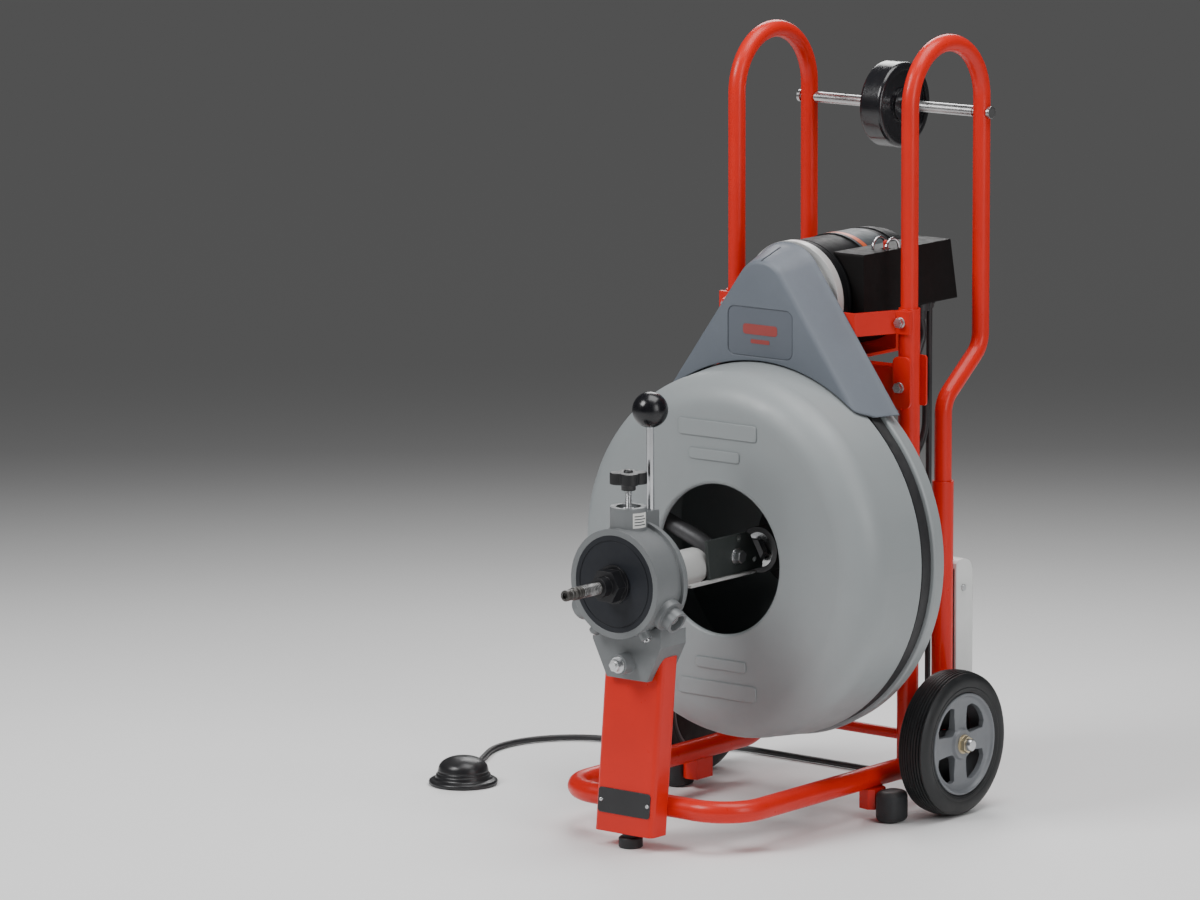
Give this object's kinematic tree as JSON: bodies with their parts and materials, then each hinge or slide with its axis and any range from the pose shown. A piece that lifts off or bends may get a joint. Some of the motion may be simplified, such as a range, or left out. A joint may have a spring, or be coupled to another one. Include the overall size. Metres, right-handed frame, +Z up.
{
  "type": "drain snake machine",
  "caption": "Drum-type drain cleaning machine on a two-wheeled tube frame, with belt drive, motor, feed head with lever, and foot pedal.",
  "frame": {"origin": "centre of the front rubber foot's face on the floor", "axes": "+Z up, -Y the way the cable leaves the machine, +X to the machine's left as it faces -Y, the side of the switch box"},
  "size_m": [0.8493, 0.8405, 1.1309],
  "materials": {
    "frame_paint": "smooth orange-red powder coat",
    "zinc": "bright zinc plate",
    "bearing_metal": "dull yellow metal",
    "skid_plastic": "white moulded plastic",
    "foot_rubber": "black rubber",
    "badge": "plain black plate",
    "casting": "satin grey painted casting",
    "face_paint": "near-black plate",
    "dark_metal": "black oxide",
    "machined_steel": "machined",
    "belt_rubber": "black belt",
    "guard_plastic": "blue-grey moulded plastic",
    "motor_paint": "black paint",
    "motor_bell": "pale die casting",
    "switch_plastic": "black moulded plastic",
    "chrome": "polished",
    "toggle_red": "red cap",
    "cord_rubber": "black cord and hose",
    "pedal_rubber": "black rubber",
    "drum_plastic": "light grey moulded plastic",
    "cable_steel": "close-wound steel cable",
    "coupling_steel": "dark steel",
    "guide_metal": "pale tube",
    "ball_black": "glossy black",
    "knob_black": "black moulded",
    "hub_grey": "grey moulded hub",
    "tyre": "ribbed tyre",
    "roller_plastic": "black roller"
  },
  "bodies": {
    "frame": {"base_tube": "frame_paint", "uprights": "frame_paint", "left_handle": "frame_paint", "right_handle": "frame_paint", "crossmembers": "frame_paint", "guard_straps": "frame_paint", "motor_cradle": "frame_paint", "frame_bolts": "zinc", "wheel_axle": "frame_paint", "axle_retainers": "bearing_metal", "stair_skids": "skid_plastic", "front_post": "frame_paint", "rubber_feet": "foot_rubber", "foot_brackets": "frame_paint", "post_badge": "badge", "autofeed_bracket": "casting", "autofeed_housing": "casting", "head_retainers": "zinc", "face_plate": "face_paint", "nose_bushing": "dark_metal", "drum_spindle": "machined_steel", "belt": "belt_rubber", "belt_guard": "guard_plastic", "motor_shell": "motor_paint", "motor_front_bell": "motor_bell", "motor_rear_bell": "motor_paint", "switch_box": "switch_plastic", "switch_guard": "chrome", "power_cord": "cord_rubber", "air_hose": "cord_rubber", "pedal_base": "pedal_rubber", "roller_rod": "machined_steel"},
    "drum": {"drum_front_shell": "drum_plastic", "drum_rear_shell": "drum_plastic", "drum_hub": "machined_steel", "drum_bearings": "zinc", "cable_coil": "cable_steel"},
    "guide": {"guide_tube": "guide_metal", "guide_plate": "dark_metal"},
    "cable": {"lead_cable": "cable_steel", "cable_coupling": "coupling_steel"},
    "pulley": {"motor_pulley": "machined_steel"},
    "lever": {"control_ring": "casting", "feed_lever": "chrome", "lever_knob": "ball_black"},
    "press": {"press_cup": "zinc"},
    "knob": {"star_knob": "knob_black"},
    "top_carrier": {"top_carrier": "machined_steel"},
    "left_carrier": {"left_carrier": "machined_steel"},
    "right_carrier": {"right_carrier": "machined_steel"},
    "top_roller": {"top_feed_roller": "machined_steel"},
    "left_roller": {"left_feed_roller": "machined_steel"},
    "right_roller": {"right_feed_roller": "machined_steel"},
    "left_wheel": {"left_hub": "hub_grey", "left_tyre": "tyre"},
    "right_wheel": {"right_hub": "hub_grey", "right_tyre": "tyre"},
    "carry_roller": {"carry_roller": "roller_plastic"},
    "toggle": {"switch_toggle": "toggle_red"},
    "pedal": {"pedal_dome": "pedal_rubber"}
  },
  "joints": [
    {"name": "drum_spin", "type": "hinge", "parent": "frame", "child": "drum", "pos_m": [0, 0.35, 0.388], "axis": [0, 1, 0], "continuous": true},
    {"name": "pulley_spin", "type": "hinge", "parent": "frame", "child": "pulley", "pos_m": [0, 0.338, 0.748], "axis": [0, 1, 0], "continuous": true},
    {"name": "guide_turn", "type": "hinge", "parent": "frame", "child": "guide", "pos_m": [0, 0.03, 0.388], "axis": [0, 1, 0], "continuous": true},
    {"name": "cable_feed", "type": "slide", "parent": "guide", "child": "cable", "axis": [0, -1, 0], "range_m": [0, 0.1]},
    {"name": "feed_lever_turn", "type": "hinge", "parent": "frame", "child": "lever", "pos_m": [0, 0.028, 0.388], "axis": [0, 1, 0], "range_deg": [-10, 10]},
    {"name": "press_feed", "type": "slide", "parent": "frame", "child": "press", "axis": [0, 0, 1], "range_m": [0, 0.0055]},
    {"name": "star_knob_turn", "type": "hinge", "parent": "press", "child": "knob", "pos_m": [0, -0.003, 0.5], "axis": [0, 0, 1], "range_deg": [0, 1000]},
    {"name": "top_skew", "type": "hinge", "parent": "press", "child": "top_carrier", "pos_m": [0, -0.003, 0.448], "axis": [0, 0, 1], "range_deg": [-20, 20]},
    {"name": "left_skew", "type": "hinge", "parent": "frame", "child": "left_carrier", "pos_m": [-0.05196, -0.003, 0.358], "axis": [-0.866, 0, -0.5], "range_deg": [-20, 20]},
    {"name": "right_skew", "type": "hinge", "parent": "frame", "child": "right_carrier", "pos_m": [0.05196, -0.003, 0.358], "axis": [0.866, 0, -0.5], "range_deg": [-20, 20]},
    {"name": "top_roller_spin", "type": "hinge", "parent": "top_carrier", "child": "top_roller", "pos_m": [0, -0.003, 0.4083], "axis": [0, 1, 0], "continuous": true},
    {"name": "left_roller_spin", "type": "hinge", "parent": "left_carrier", "child": "left_roller", "pos_m": [-0.01758, -0.003, 0.37785], "axis": [0, 1, 0], "continuous": true},
    {"name": "right_roller_spin", "type": "hinge", "parent": "right_carrier", "child": "right_roller", "pos_m": [0.01758, -0.003, 0.37785], "axis": [0, 1, 0], "continuous": true},
    {"name": "left_wheel_spin", "type": "hinge", "parent": "frame", "child": "left_wheel", "pos_m": [-0.238, 0.453, 0.107], "axis": [1, 0, 0], "continuous": true},
    {"name": "right_wheel_spin", "type": "hinge", "parent": "frame", "child": "right_wheel", "pos_m": [0.238, 0.453, 0.107], "axis": [1, 0, 0], "continuous": true},
    {"name": "carry_roller_spin", "type": "hinge", "parent": "frame", "child": "carry_roller", "pos_m": [0, 0.63, 1.009], "axis": [1, 0, 0], "continuous": true},
    {"name": "switch_toggle_turn", "type": "hinge", "parent": "frame", "child": "toggle", "pos_m": [0.09, 0.487, 0.808], "axis": [1, 0, 0], "range_deg": [-15, 15]},
    {"name": "pedal_press", "type": "slide", "parent": "frame", "child": "pedal", "axis": [0, 0, -1], "range_m": [0, 0.008], "stiffness_N_per_m": 2500}
  ],
  "couplings": [
    {"joint": "pulley_spin", "follows": "drum_spin", "ratio": 8.48},
    {"joint": "guide_turn", "follows": "drum_spin", "ratio": 1},
    {"joint": "top_roller_spin", "follows": "drum_spin", "ratio": -0.6667},
    {"joint": "left_roller_spin", "follows": "drum_spin", "ratio": -0.6667},
    {"joint": "right_roller_spin", "follows": "drum_spin", "ratio": -0.6667},
    {"joint": "top_skew", "follows": "feed_lever_turn", "ratio": -1.935},
    {"joint": "left_skew", "follows": "feed_lever_turn", "ratio": -1.935},
    {"joint": "right_skew", "follows": "feed_lever_turn", "ratio": -1.935},
    {"joint": "star_knob_turn", "follows": "press_feed", "rad_per_m": 3141.6}
  ]
}
